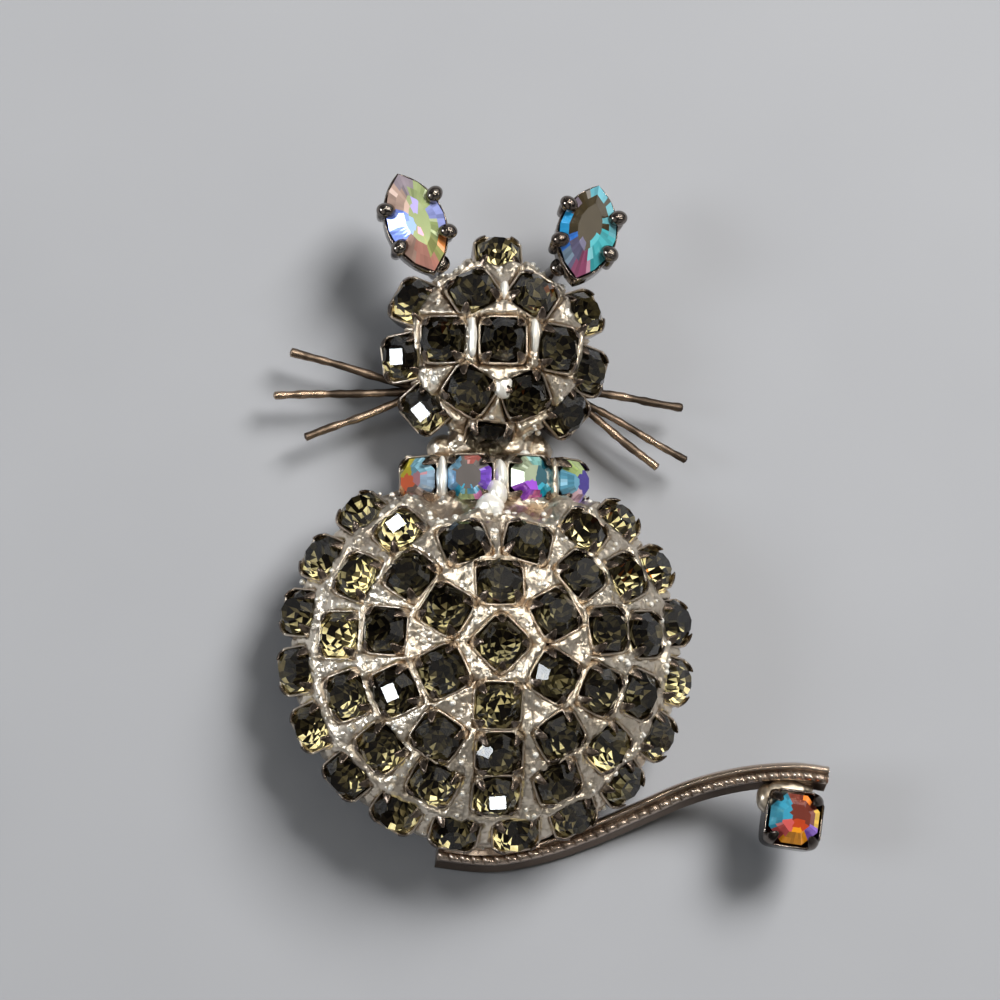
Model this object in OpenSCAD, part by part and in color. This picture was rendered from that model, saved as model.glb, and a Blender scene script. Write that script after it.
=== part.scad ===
// A cat-shaped brooch lying on its back: a domed body and head full of round cut stones,
// a collar of four stones, two pointed ears, wire whiskers, a curled tail and a pin behind.
// +Y points to the cat's ears, +Z out of its front, and z = 0 is what it lies on.

/* [Body] */
// Across the body from table to table of its outermost stones
body_span = 28.5; // [28.3:0.1:28.8]
// Radius of the sphere that the tables of the body's stones lie on
body_table_r = 17; // [16.9:0.1:17.2]
// Height of the body's rim above the ground
body_rim_z = 1.8; // [1.75:0.05:1.9]
// Angle from the dome's top down to the rim of either dome
rim_angle = 68; // [66:0.5:69]
// Share by which the rings of stones on the body are wider than they are tall
body_widen = 0.024; // [0:0.002:0.03]

/* [Head] */
// Head's centre across, from the body's centre
head_dx = 0.7; // [0.5:0.1:0.9]
// Head's centre up, from the body's centre
head_dy = 22.3; // [22.2:0.05:22.6]
// Radius of the sphere that the tables of the head's stones lie on
head_table_r = 9; // [8.9:0.05:9.1]
// Height of the head's rim above the ground
head_rim_z = 2.6; // [2.55:0.05:2.7]

/* [Stones] */
// Diameter of a round stone on the body and the head
stone_d = 3.3; // [3.2:0.05:3.35]
// Diameter of a round stone on the collar
collar_stone_d = 3.45; // [3.3:0.05:3.5]
// Diameter of the stone on the tail
tail_stone_d = 3.9; // [3.7:0.1:4]
// Length of an ear's pointed stone
ear_stone_l = 7.6; // [7.2:0.1:7.8]
// Width of an ear's pointed stone
ear_stone_w = 4.2; // [4:0.1:4.3]
// Gap between a stone and the metal round it
stone_gap = 0.07; // [0.05:0.01:0.08]

/* [Metal] */
// Width of a square cup on the body and the head
cup_w = 3.6; // [3.55:0.05:3.65]
// Depth from a stone's table to the plate under its cup
cup_rise = 2.4; // [2.35:0.05:2.45]
// Thickness of the domed plates
plate_t = 0.9; // [0.8:0.05:1]
// Radius of the arch that the tables of the collar's stones lie on
collar_r = 8.9; // [8.8:0.05:9]
// Diameter of a whisker's wire
whisker_d = 0.64; // [0.6:0.02:0.66]
// Gap between pieces that are seated on each other
seat_gap = 0.08; // [0.06:0.01:0.1]

/* [Pin] */
// Diameter of the pin's stem
pin_d = 0.9; // [0.8:0.05:1]
// Length of the pin back
pin_l = 13.8; // [13:0.1:14]
// How far the pin back lies above the body's centre
pin_dy = 8.6; // [8.4:0.1:8.8]

/* [Hidden] */
$fn = 48;

// The body's centre, from the origin under the middle of the whole brooch
body_x = -4.605;
body_y = -9.6;
head_x = body_x + head_dx;
head_y = body_y + head_dy;

// Both domes: outer and inner radius of the plate, and the height of the sphere's centre
body_plate_r = body_table_r - cup_rise;
body_z = body_rim_z - body_plate_r * cos(rim_angle);
head_plate_r = head_table_r - cup_rise;
head_z = head_rim_z - head_plate_r * cos(rim_angle);

// Rings of body stones: number, radius, azimuth of the first, step, in degrees clockwise, and
// the share of the sphere's slope that the ring's cups lean by
body_rings = [
    [1, 0, 0, 0, 1],
    [6, 4.76, -0.5, 60.8, 1],
    [11, 8.38, 15.5, 32.73, 0.97],
    [13, 11.4, 36.2, 23.83, 0.88],
    [16, body_span / 2, 43.3, 18.36, 0.83]
];
inner_rings = 3;

// The head's rings: radius, the azimuth of each stone, and the share of the sphere's slope that
// its cups lean by, but for the one over the chin
head_rings = [
    [0, [45], 1],
    [4.63, [331, 34, 95, 155, 213, 272], 0.8],
    [7.49, [1, 67, 103, 132, 185, 229, 263, 298.5], 0.65]
];
chin_azimuth = 185;
chin_lean = 0.9;

// A round stone's proportions, as shares of its radius
table_share = 0.58;
crown_share = 0.34;
girdle_share = 0.08;
pavilion_share = 0.8;
stone_sides = 8;

// Depth of a cup's block on the body, the head and the collar, deep enough to meet the plate
body_cup_depth = 3.3;
head_cup_depth = 4.2;
collar_cup_depth = 3;

// A cup's chamfered corners, which are its prongs, and how far they stay below the table
corner_cut = 0.45;
prong_share = 0.5;
prong_drop = 0.12;

// The collar's middle, the height of its arch's axis, and the angle of each stone round it
collar_x = body_x + 0.55;
collar_y = body_y + 12.45;
collar_z = -1.1;
collar_cup_w = 3.65;
collar_angles = [-44.5, -15, 17, 45];
collar_base_z = 0.9;

// The collar's bar under the body's rim and its tongue under the head's: size along Y, and
// start above the body's centre
collar_bar_l = 1.7;
collar_bar_y = 12.9;
tongue_w = 6;
tongue_l = 3.6;
tongue_y = 14;
tongue_lift = 0.4;

// Ears: x, y and z of the table's middle from the head's centre on the ground,
// lean to the cat's right in degrees, and how far the tip drops in degrees
left_ear = [-6.15, 8.8, 7.25, 20, 4];
right_ear = [6.4, 8.45, 7.85, -15, 13.5];
ear_cup_h = 2.45;
ear_wall = 0.3;
ear_bearing = -0.85;
ear_prong_r = 0.45;
ear_tip_r = 0.62;
ear_tip_y = 1.5;
ear_floor = 0.3;
ear_segments = 6;

// An ear's foot: its distance from the head's centre, its thickness, the tab that reaches under
// the head's rim, and how far below its middle the tilted cup meets it
ear_foot = 7.3;
ear_foot_d = 1.3;
ear_tab_t = 0.8;
ear_foot_drop = 2.8;

// The ear stone's table, both edges of its girdle and its back: shares of length and width, z
pointed_levels = [[0.62, 0.6, 0], [1, 1, -0.75], [1, 1, -0.9], [0.3, 0.15, -2.1]];

// Whiskers: x and y of the root and of each tip, from the head's centre
left_root = [-4.75, -2.95];
left_tips = [[-14.9, -0.25], [-16.1, -3.5], [-13.8, -6.55]];
right_root = [4.6, -2.4];
right_tips = [[14.15, -3.85], [14.4, -7.75], [12.25, -8.35]];
root_r = 1.15;

// Tail: points of the wire's middle from the body's centre, as x, y and z
tail_points = [
    [-3.2, -14.45, 0.9],
    [0.8, -14.8, 0.9],
    [4.6, -14.1, 0.9],
    [8.1, -12.9, 1],
    [11.7, -11.35, 1.5],
    [15.2, -9.85, 2.4],
    [18.7, -8.95, 3.5],
    [22.2, -8.65, 4.5],
    [24.8, -8.95, 5]
];
tail_half_w = 0.88;
tail_half_h = 0.9;
tail_samples = 3;

// The tail's seat under the body's rim: inner and outer radius, height, and its span of angles
tail_seat_r = [12.7, 14.5];
tail_seat_z = 0.85;
tail_seat_turn = -101;
tail_seat_angle = 28;

// The cup on the tail, and the solder between it and the wire
tail_box = [22.35, -11.9, 6.1];
tail_box_w = 4.25;
tail_box_turn = -8;
tail_box_depth = 2.9;
solder = [2.5, 1.2, 0.9];
solder_at = [20.95, -10.3, 3.9];

// The pin back's bar, blocks and stem
pin_bar_w = 1.8;
pin_bar_z = 2.5;
pin_bar_t = 0.8;
pin_block_l = 1.7;
pin_stem_z = 0.55;

metal = [0.72, 0.67, 0.58];
dark_metal = [0.36, 0.31, 0.26];
dark_stone = [0.16, 0.15, 0.12];
bright_stone = [0.45, 0.6, 0.8];

HEAD_STONES = [
    for (ring = [0 : len(head_rings) - 1], i = [0 : len(head_rings[ring][1]) - 1])
        str("head_stone_", ring, "_", i + 1)
];
COLLAR_STONES = [for (i = [1 : len(collar_angles)]) str("collar_stone_", i)];

// Plan positions of one ring's stones on the body, from its centre, each with its lean
function body_spots(ring) = [
    for (i = [0 : ring[0] - 1])
        let (a = ring[2] + i * ring[3])
            [ring[1] * (1 + body_widen) * sin(a), ring[1] * (1 - body_widen) * cos(a), ring[4]]
];

// Plan positions of one ring's stones on the head, from its centre, each with its lean
function head_spots(ring) = [
    for (a = ring[1])
        [ring[0] * sin(a), ring[0] * cos(a), a == chin_azimuth ? chin_lean : ring[2]]
];

// Puts a cup or stone on a sphere, one flat side down the slope and its table turned back
// towards the front, so that it leans by a share of the slope
module on_dome(spot, table_r) {
    far = norm([spot[0], spot[1]]);
    turn = far > 0 ? atan2(spot[1], spot[0]) : 45;
    slope = asin(far / table_r);
    rotate([0, slope, turn])
        translate([0, 0, table_r])
            rotate([0, (spot[2] - 1) * slope, 0])
                children();
}

// Corners of a regular ring at one height
function ring_points(r, z, sides, first) = [
    for (i = [0 : sides - 1])
        let (a = first + i * 360 / sides)
            [r * cos(a), r * sin(a), z]
];

// Round cut stone with its table at z = 0: table, crown, thin girdle and pointed back
module round_stone(d) {
    r = d / 2;
    n = stone_sides;
    girdle_top = -crown_share * r;
    girdle_low = girdle_top - girdle_share * r;
    points = concat(
        ring_points(table_share * r, 0, n, 0),
        ring_points(r, girdle_top, n, 180 / n),
        ring_points(r, girdle_low, n, 180 / n),
        [[0, 0, girdle_low - pavilion_share * r]]
    );
    faces = concat(
        [[for (i = [n - 1 : -1 : 0]) i]],
        [for (i = [0 : n - 1]) [i, (i + 1) % n, n + i]],
        [for (i = [0 : n - 1]) [n + i, (i + 1) % n, n + (i + 1) % n]],
        [for (i = [0 : n - 1]) [n + i, n + (i + 1) % n, 2 * n + (i + 1) % n, 2 * n + i]],
        [for (i = [0 : n - 1]) [2 * n + i, 2 * n + (i + 1) % n, 3 * n]]
    );
    polyhedron(points, faces);
}

// Space that a round stone and the gap round it take out of its cup
module round_seat(d) {
    r = d / 2 + stone_gap;
    girdle_top = -crown_share * d / 2 + stone_gap;
    girdle_low = girdle_top - girdle_share * d / 2 - 2 * stone_gap;
    culet = girdle_low - pavilion_share * d / 2 - stone_gap;
    open_r = table_share * r;
    rotate_extrude()
        polygon([[0, culet], [r, girdle_low], [r, girdle_top], [open_r, 0.1], [open_r, 1], [0, 1]]);
}

// Square cup whose corners rise past the girdle as four prongs, table at z = 0
module square_cup(w, d, depth) {
    half = w / 2;
    cut = half - corner_cut;
    slot = w * prong_share;
    bearing = -crown_share * d / 2 - 0.1;
    difference() {
        translate([0, 0, -depth])
            linear_extrude(depth - prong_drop)
                polygon([
                    [cut, -half], [half, -cut], [half, cut], [cut, half],
                    [-cut, half], [-half, cut], [-half, -cut], [-cut, -half]
                ]);
        translate([-w, -slot / 2, bearing]) cube([2 * w, slot, depth]);
        translate([-slot / 2, -w, bearing]) cube([slot, 2 * w, depth]);
        round_seat(d);
    }
}

// Hollow dome with its centre at the origin, its cups on it and all below the rim cut away
module studded_dome(spots, table_r, plate_r, depth) {
    rim = plate_r * cos(rim_angle);
    side = 3 * table_r;
    difference() {
        union() {
            sphere(plate_r);
            for (spot = spots) on_dome(spot, table_r) square_cup(cup_w, stone_d, depth);
        }
        sphere(plate_r - plate_t);
        translate([-side / 2, -side / 2, rim - side]) cube(side);
    }
}

module body_dome() {
    color(metal)
        translate([body_x, body_y, body_z])
            studded_dome(
                [for (ring = body_rings) each body_spots(ring)],
                body_table_r,
                body_plate_r,
                body_cup_depth
            );
}

module head_dome() {
    color(metal)
        translate([head_x, head_y, head_z])
            studded_dome(
                [for (ring = head_rings) each head_spots(ring)],
                head_table_r,
                head_plate_r,
                head_cup_depth
            );
}

module body_stones(rings) {
    color(dark_stone)
        translate([body_x, body_y, body_z])
            for (ring = rings, spot = body_spots(ring)) on_dome(spot, body_table_r) round_stone(stone_d);
}

module body_stones_inner() {
    body_stones([for (i = [0 : inner_rings - 1]) body_rings[i]]);
}

module body_stones_outer() {
    body_stones([for (i = [inner_rings : len(body_rings) - 1]) body_rings[i]]);
}

module head_stone(ring, i) {
    color(dark_stone)
        translate([head_x, head_y, head_z])
            on_dome(head_spots(head_rings[ring])[i], head_table_r) round_stone(stone_d);
}

// Puts a cup or stone on the collar's arch, whose axis lies along Y
module on_collar(angle) {
    translate([collar_x, collar_y, collar_z])
        rotate([0, angle, 0])
            translate([0, 0, collar_r])
                children();
}

// Arched band with four cups, closed below by a bar under the body's rim and by the tongue
// that carries the head
module collar() {
    plate_r = collar_r - cup_rise;
    tongue_z = collar_base_z + tongue_lift;
    tongue = [tongue_w, tongue_l, head_rim_z - seat_gap - tongue_z];
    bar = [2 * plate_r - 0.6, collar_bar_l, body_rim_z - seat_gap - collar_base_z];
    below = 4 * collar_r;
    color(metal) {
        difference() {
            union() {
                translate([collar_x, collar_y, collar_z])
                    rotate([90, 0, 0])
                        cylinder(r = plate_r, h = collar_cup_w, center = true);
                for (a = collar_angles) on_collar(a) square_cup(collar_cup_w, collar_stone_d, collar_cup_depth);
            }
            translate([collar_x, collar_y, collar_z])
                rotate([90, 0, 0])
                    cylinder(r = plate_r - plate_t, h = 2 * collar_cup_w, center = true);
            translate([body_x, body_y, body_z]) sphere(body_plate_r + seat_gap);
            translate([collar_x - below / 2, collar_y - below / 2, collar_base_z - below]) cube(below);
        }
        translate([collar_x - bar[0] / 2, body_y + collar_bar_y, collar_base_z]) cube(bar);
        translate([collar_x - tongue_w / 2, body_y + tongue_y, tongue_z]) cube(tongue);
    }
}

module collar_stone(i) {
    color(bright_stone) on_collar(collar_angles[i]) round_stone(collar_stone_d);
}

// Radius of the two arcs that close a pointed outline
function lens_r(l, w) = (l * l + w * w) / (4 * w);

// Points of a pointed outline along Y, from two arcs that meet at its tips
function lens_points(l, w, z) =
    let (r = lens_r(l, w), half = asin(l / (2 * r)), step = 2 * half / ear_segments)
        [
            for (side = [0, 1], i = [0 : ear_segments - 1])
                let (a = 180 * side - half + i * step)
                    [r * cos(a) - (1 - 2 * side) * (r - w / 2), r * sin(a), z]
        ];

// Pointed block along Y with true curved sides, its top at z = 0
module lens_block(l, w, h) {
    r = lens_r(l, w);
    translate([0, 0, -h])
        intersection() {
            translate([w / 2 - r, 0, 0]) cylinder(r = r, h = h);
            translate([r - w / 2, 0, 0]) cylinder(r = r, h = h);
        }
}

// Pointed stone with its table at z = 0, made larger all round by grow
module pointed_stone(grow) {
    l = ear_stone_l + 2 * grow;
    w = ear_stone_w + 2 * grow;
    n = 2 * ear_segments;
    points = [
        for (k = [0 : len(pointed_levels) - 1])
            let (level = pointed_levels[k], rise = k < 2 ? grow : -grow)
                each lens_points(l * level[0], w * level[1], level[2] + rise)
    ];
    faces = concat(
        [[for (i = [n - 1 : -1 : 0]) i]],
        [
            for (k = [0 : 2], i = [0 : n - 1])
                [k * n + i, k * n + (i + 1) % n, (k + 1) * n + (i + 1) % n, (k + 1) * n + i]
        ],
        [[for (i = [0 : n - 1]) 3 * n + i]]
    );
    polyhedron(points, faces);
}

// Puts an ear's setting or stone in its place
module on_ear(ear) {
    translate([head_x + ear[0], head_y + ear[1], ear[2]])
        rotate([0, 0, ear[3]])
            rotate([-ear[4], 0, 0])
                children();
}

// Pointed cup with four ball-tipped prongs, on a foot that reaches under the head's rim
module ear_setting(ear) {
    prong_h = ear_cup_h - 2 * ear_floor;
    foot_z = head_rim_z - seat_gap - ear_tab_t;
    foot_top = ear[2] - ear_cup_h + ear_floor + ear_foot_drop * sin(ear[4]);
    reach = ear_foot - head_plate_r * sin(rim_angle) + plate_t;
    color(metal) {
        on_ear(ear)
            difference() {
                union() {
                    translate([0, 0, ear_bearing])
                        lens_block(ear_stone_l + 2 * ear_wall, ear_stone_w + 2 * ear_wall, ear_cup_h + ear_bearing);
                    for (sx = [-1, 1], sy = [-1, 1])
                        translate([sx * (ear_stone_w / 2 - 0.1), sy * ear_tip_y, ear_floor - ear_cup_h]) {
                            cylinder(r = ear_prong_r, h = prong_h);
                            translate([0, 0, prong_h]) sphere(ear_tip_r);
                        }
                }
                pointed_stone(stone_gap);
            }
        translate([head_x, head_y, 0])
            rotate([0, 0, atan2(ear[1], ear[0])]) {
                translate([ear_foot, 0, foot_z]) cylinder(d = ear_foot_d, h = foot_top - foot_z);
                translate([ear_foot - reach, -ear_foot_d / 2, foot_z]) cube([reach, ear_foot_d, ear_tab_t]);
            }
    }
}

module left_ear_setting() {
    ear_setting(left_ear);
}

module right_ear_setting() {
    ear_setting(right_ear);
}

module left_ear_stone() {
    color(bright_stone) on_ear(left_ear) pointed_stone(0);
}

module right_ear_stone() {
    color(bright_stone) on_ear(right_ear) pointed_stone(0);
}

// Three straight wires that fan out of one soldered spot under the head's rim
module whiskers(root, tips) {
    z = head_rim_z - 0.1 - whisker_d / 2;
    color(dark_metal)
        translate([head_x, head_y, z]) {
            translate([root[0], root[1], -whisker_d / 2]) cylinder(r = root_r, h = whisker_d);
            for (tip = tips)
                translate([root[0], root[1], 0])
                    rotate([0, 0, atan2(tip[1] - root[1], tip[0] - root[0])])
                        rotate([0, 90, 0])
                            cylinder(d = whisker_d, h = norm(tip - root));
        }
}

module left_whiskers() {
    whiskers(left_root, left_tips);
}

module right_whiskers() {
    whiskers(right_root, right_tips);
}

// Point of a smooth curve through a, b, c and d, between b and c
function curve_point(a, b, c, d, t) =
    0.5 * (2 * b + (c - a) * t + (2 * a - 5 * b + 4 * c - d) * t * t + (3 * b - a - 3 * c + d) * t * t * t);

// The tail's whole curve, no lower than lets the wire lie on the ground
function tail_curve() =
    let (p = tail_points, last = len(p) - 1)
        concat(
            [
                for (i = [0 : last - 1], k = [0 : tail_samples - 1])
                    let (
                        before = p[max(i - 1, 0)],
                        after = p[min(i + 2, last)],
                        q = curve_point(before, p[i], p[i + 1], after, k / tail_samples)
                    )
                        [q[0], q[1], max(q[2], tail_half_h)]
            ],
            [p[last]]
        );

// Outline of the tail's wire: flat below and round above
function tail_section() = [
    for (s = [[-0.7, -1], [0.7, -1], [1, -0.65], [1, 0.3], [0.7, 0.82], [0.25, 1],
            [-0.25, 1], [-0.7, 0.82], [-1, 0.3], [-1, -0.65]])
        [s[0] * tail_half_w, s[1] * tail_half_h]
];

// Carries the outline along the curve, upright all the way
module tail_wire() {
    path = tail_curve();
    section = tail_section();
    n = len(section);
    last = len(path) - 1;
    points = [
        for (i = [0 : last])
            let (step = path[min(i + 1, last)] - path[max(i - 1, 0)], run = norm([step[0], step[1]]))
                for (s = section)
                    path[i] + [-step[1] / run * s[0], step[0] / run * s[0], s[1]]
    ];
    faces = concat(
        [[for (i = [0 : n - 1]) i]],
        [
            for (k = [0 : last - 1], i = [0 : n - 1], half = [0, 1])
                half == 0
                    ? [k * n + i, (k + 1) * n + i, (k + 1) * n + (i + 1) % n]
                    : [k * n + i, (k + 1) * n + (i + 1) % n, k * n + (i + 1) % n]
        ],
        [[for (i = [n - 1 : -1 : 0]) last * n + i]]
    );
    polyhedron(points, faces);
}

// Wire that runs under the body's rim, with the square cup soldered to its end
module tail() {
    seat = [tail_seat_r[1] - tail_seat_r[0], body_rim_z - seat_gap - tail_seat_z];
    color(metal)
        translate([body_x, body_y, 0]) {
            tail_wire();
            rotate([0, 0, tail_seat_turn])
                rotate_extrude(angle = tail_seat_angle)
                    translate([tail_seat_r[0], tail_seat_z]) square(seat);
            translate(tail_box)
                rotate([0, 0, tail_box_turn])
                    square_cup(tail_box_w, tail_stone_d, tail_box_depth);
            translate(solder_at) cube(solder);
        }
}

module tail_stone() {
    color(bright_stone)
        translate([body_x, body_y, 0])
            translate(tail_box)
                rotate([0, 0, tail_box_turn])
                    round_stone(tail_stone_d);
}

// Bar across the hollow body, with a block at each end and the closed stem between them
module pin_back() {
    block_h = pin_bar_z + pin_bar_t;
    color(metal)
        translate([body_x, body_y + pin_dy, 0]) {
            intersection() {
                translate([-pin_l, -pin_bar_w / 2, pin_bar_z]) cube([2 * pin_l, pin_bar_w, pin_bar_t]);
                translate([0, -pin_dy, body_z]) sphere(body_plate_r - plate_t - seat_gap);
            }
            for (end = [-1, 1])
                translate([end * (pin_l - pin_block_l) / 2 - pin_block_l / 2, -pin_bar_w / 2, 0])
                    cube([pin_block_l, pin_bar_w, block_h - 0.1]);
            translate([-pin_l / 2 + 0.5, 0, pin_stem_z])
                rotate([0, 90, 0])
                    cylinder(d = pin_d, h = pin_l - 1);
        }
}

body_dome();
head_dome();
collar();
left_ear_setting();
right_ear_setting();
left_whiskers();
right_whiskers();
tail();
pin_back();
body_stones_inner();
body_stones_outer();
for (ring = [0 : len(head_rings) - 1], i = [0 : len(head_rings[ring][1]) - 1])
    head_stone(ring, i);
for (i = [0 : len(collar_angles) - 1])
    collar_stone(i);
left_ear_stone();
right_ear_stone();
tail_stone();
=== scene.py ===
import math

import bpy
import numpy as np
from mathutils import Matrix, Vector


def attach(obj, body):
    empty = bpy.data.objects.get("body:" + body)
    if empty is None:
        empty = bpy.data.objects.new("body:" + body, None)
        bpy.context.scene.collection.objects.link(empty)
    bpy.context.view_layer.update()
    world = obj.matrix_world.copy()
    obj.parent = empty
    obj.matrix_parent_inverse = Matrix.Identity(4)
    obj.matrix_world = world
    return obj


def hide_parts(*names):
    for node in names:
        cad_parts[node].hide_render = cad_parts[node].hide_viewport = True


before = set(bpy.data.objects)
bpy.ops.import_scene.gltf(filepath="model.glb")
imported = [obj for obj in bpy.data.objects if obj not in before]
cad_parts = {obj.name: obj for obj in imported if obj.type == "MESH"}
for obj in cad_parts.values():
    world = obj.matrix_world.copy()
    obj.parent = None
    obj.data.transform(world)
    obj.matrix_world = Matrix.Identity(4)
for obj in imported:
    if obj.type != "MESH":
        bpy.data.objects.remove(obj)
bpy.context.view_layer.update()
mm = 0.001
dice = np.random.default_rng(11)

# Domes: radii of the stones' tables and of the plate under them; the plate's grid, how far its
# solder reaches, its waves, beads and drops (x, y, size and rise, from the middle); the stones
# that throw back a pane of light; and the painted glints: how much brighter the foil's painted light is in
# all stones, at the rim and in the low ones
rimAngle = math.radians(68.0)  # from a dome's top to its rim
bodyDome = {
    "name": "body", "middle": np.array([-4.605, -9.6, 0]), "tableR": 17.0, "plateR": 14.6,
    "rimZ": 1.8, "middleTurn": 45,
    "rows": 84, "columns": 400, "reach": 0.75, "wave": 0.11, "ripple": 0.055, "edge": 9, "cupHeight": 3.3,
    "panes": (14, 24, 30), "glow": (0.0, 0.3, 0.13), "beads": 150,
    "drops": [(0.2, 10.0, 0.8, 0.5), (7.1, -2.2, 0.8, 0.35), (3.2, -5.4, 0.7, 0.4), (-7.4, 9.3, 0.7, 0.5),
              (-5.2, 10.2, 0.9, 0.55), (-3.0, 10.6, 0.7, 0.5), (2.2, 10.7, 0.8, 0.5), (4.6, 10.3, 0.8, 0.6),
              (6.9, 9.6, 0.7, 0.5), (-1.2, 9.0, 0.5, 0.4), (1.9, 8.9, 0.6, 0.4)]}
headDome = {
    "name": "head", "middle": np.array([-3.905, 12.7, 0]), "tableR": 9.0, "plateR": 6.6,
    "rimZ": 2.6, "middleTurn": 0,
    "rows": 48, "columns": 230, "reach": 0.65, "wave": 0.1, "ripple": 0.05, "edge": 12, "cupHeight": 4.2,
    "panes": (12, 13), "glow": (-0.07, 0.0, 0.0), "beads": 55,
    "drops": [(0.2, -3.2, 0.8, 0.5), (2.4, 0.6, 0.6, 0.4), (-2.1, 0.3, 0.6, 0.4)]}

# Rings of stones: radius, azimuths clockwise from +Y, and lean. The body is wider than tall
widen = 0.024
bodyRings = [(r, first + step * np.arange(count), lean) for count, r, first, step, lean in (
    (1, 0, 0, 0, 1), (6, 4.76, -0.5, 60.8, 1), (11, 8.38, 15.5, 32.73, 0.97), (13, 11.4, 36.2, 23.83, 0.88),
    (16, 14.25, 43.3, 18.36, 0.83))]
headRings = [(0, [45], 1), (4.63, [331, 34, 95, 155, 213, 272], 0.8),
             (7.49, [1, 67, 103, 132, 185, 229, 263, 298.5], [0.65] * 4 + [0.9] + [0.65] * 3)]


# Centre of a dome's sphere: z = rim height - plate radius * cos(rim angle)
def domeCentre(dome):
    return dome["middle"] + (0, 0, dome["rimZ"] - dome["plateR"] * math.cos(rimAngle))


# Spots of rings: x = r (1 + widen) sin a, y = r (1 - widen) cos a
def ringSpots(rings, widen):
    spots = []
    for r, turns, lean in rings:
        a = np.radians(turns)
        x, y = r * (1 + widen) * np.sin(a), r * (1 - widen) * np.cos(a)
        spots.append(np.column_stack([x, y, 0 * a + lean]))
    return np.vstack(spots)


# Seats on a sphere: sin(slope) = |spot| / R, out leans by lean * slope, down = side x out
def domeSeats(spots, dome):
    plan, lean = spots[:, :2], spots[:, 2]
    far = np.hypot(plan[:, 0], plan[:, 1])
    slope = np.arcsin(far / dome["tableR"])
    turn = np.where(far > 0, np.arctan2(plan[:, 1], plan[:, 0]), math.radians(dome["middleTurn"]))
    tilt = lean * slope
    out = np.column_stack([np.sin(tilt) * np.cos(turn), np.sin(tilt) * np.sin(turn), np.cos(tilt)])
    side = np.column_stack([-np.sin(turn), np.cos(turn), 0 * turn])
    at = domeCentre(dome) + np.column_stack([plan, dome["tableR"] * np.cos(slope)])
    return {"at": at, "axes": np.stack([np.cross(side, out), side, out], 1)}


# Carries local points, (seats, points, 3), to their seats: p = at + x down + y side + z out
def carryTo(seats, local):
    return (seats["at"][:, None] + local @ seats["axes"]).reshape(-1, 3)


# Quads of a grid of rows by columns, joined round its columns
def ringQuads(rows, columns, start=0):
    r, c = np.meshgrid(np.arange(rows - 1) * columns, np.arange(columns), indexing="ij")
    n = (c + 1) % columns
    return np.stack([r + c, r + n, r + columns + n, r + columns + c], -1).reshape(-1, 4) + start


# Points on a circle of radius 1: (cos a, sin a)
def circle(a):
    return np.column_stack([np.cos(a), np.sin(a)])


# A flat outline as a ring of points at height z
def flatRing(outline, z):
    return np.column_stack([outline, np.full(len(outline), z)])


# Turns rows of points about Z: (x cos a - y sin a, x sin a + y cos a, z)
def spin(a):
    return np.array([[math.cos(a), math.sin(a), 0], [-math.sin(a), math.cos(a), 0], [0, 0, 1]])


# Corners joined by straight edges, each edge cut into equal shares
def cutEdges(corners, shares):
    t = np.arange(shares)[:, None] / shares
    return np.vstack([a + (b - a) * t for a, b in zip(corners, np.roll(corners, -1, axis=0))])


# Closed skin over a stack of rings, (rows, columns, 3), with a flat face at each end, turned
# outwards by the sign of its volume, the sum of a.(b x c) / 6 over its triangles
def loftPart(rings, **extra):
    rows, columns = rings.shape[:2]
    ends = np.vstack([rings[0].mean(0), rings[-1].mean(0)])
    points = np.vstack([rings.reshape(-1, 3), ends])
    quads = ringQuads(rows, columns)
    c = np.arange(columns)
    n, last = (c + 1) % columns, (rows - 1) * columns
    low = np.column_stack([0 * c + rows * columns, n, c])
    high = np.column_stack([0 * c + rows * columns + 1, last + c, last + n])
    fans = np.vstack([low, high])
    triangles = np.vstack([quads[:, :3], quads[:, [0, 2, 3]], fans])
    a, b, d = (points[triangles[:, k]] - ends[0] for k in range(3))
    if (a * np.cross(b, d)).sum() < 0:
        quads, fans = quads[:, ::-1], fans[:, ::-1]
    return {"points": points, "faces": [quads, fans], **extra}


# Smooth noise, mostly between -1 and 1: 4 times the mean of sine waves in random directions, with
# wavelengths from long to short and phases of up to 6.28, a turn
def waves(points, longest, shortest, count, seed):
    pick = np.random.default_rng(seed)
    way = pick.normal(size=(count, 3))
    way /= np.linalg.norm(way, axis=1)[:, None]
    length = np.geomspace(longest, shortest, count)
    phase = pick.uniform(0, 6.28, count)
    return 4 * np.sin(points @ (way * (2 * math.pi / length)[:, None]).T + phase).mean(1)


# Directions at an angle t from +Z and an angle p round it: (sin t cos p, sin t sin p, cos t)
def sphereWays(t, p):
    return np.stack([np.sin(t) * np.cos(p), np.sin(t) * np.sin(p), np.cos(t) + 0 * p], -1).reshape(-1, 3)


# Copies of a shape as one part: points (copies, n, 3), corner numbers plus n times the copy's number
def repeatPart(points, faces, **extra):
    starts = np.arange(len(points))[:, None, None] * points.shape[1]
    groups = [(group[None] + starts).reshape(-1, group.shape[1]) for group in faces]
    return {"points": points.reshape(-1, 3), "faces": groups, **extra}


# Angles all the way round
def around(count):
    return np.linspace(0, 2 * math.pi, count, endpoint=False)


# Lump of solder: an ellipsoid whose radius is 1 + rough * waves
def lumpPart(centre, radii, rough, seed, rows=22, columns=36, **extra):
    t = np.linspace(0.02, math.pi - 0.02, rows)
    at = sphereWays(t[:, None], around(columns)) * np.array(radii)
    swell = 1 + rough * waves(at + seed, 2.2, 0.7, 12, seed)
    return loftPart(np.array(centre) + (at * swell[:, None]).reshape(rows, columns, 3), **extra)


# Lumps of a table: middle from a base, radii, roughness, seed, material, and a grid for small ones
def lumpParts(base, table):
    return [lumpPart(base + at, radii, rough, seed, *grid, material=m)
            for at, radii, rough, seed, m, *grid in table]


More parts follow.
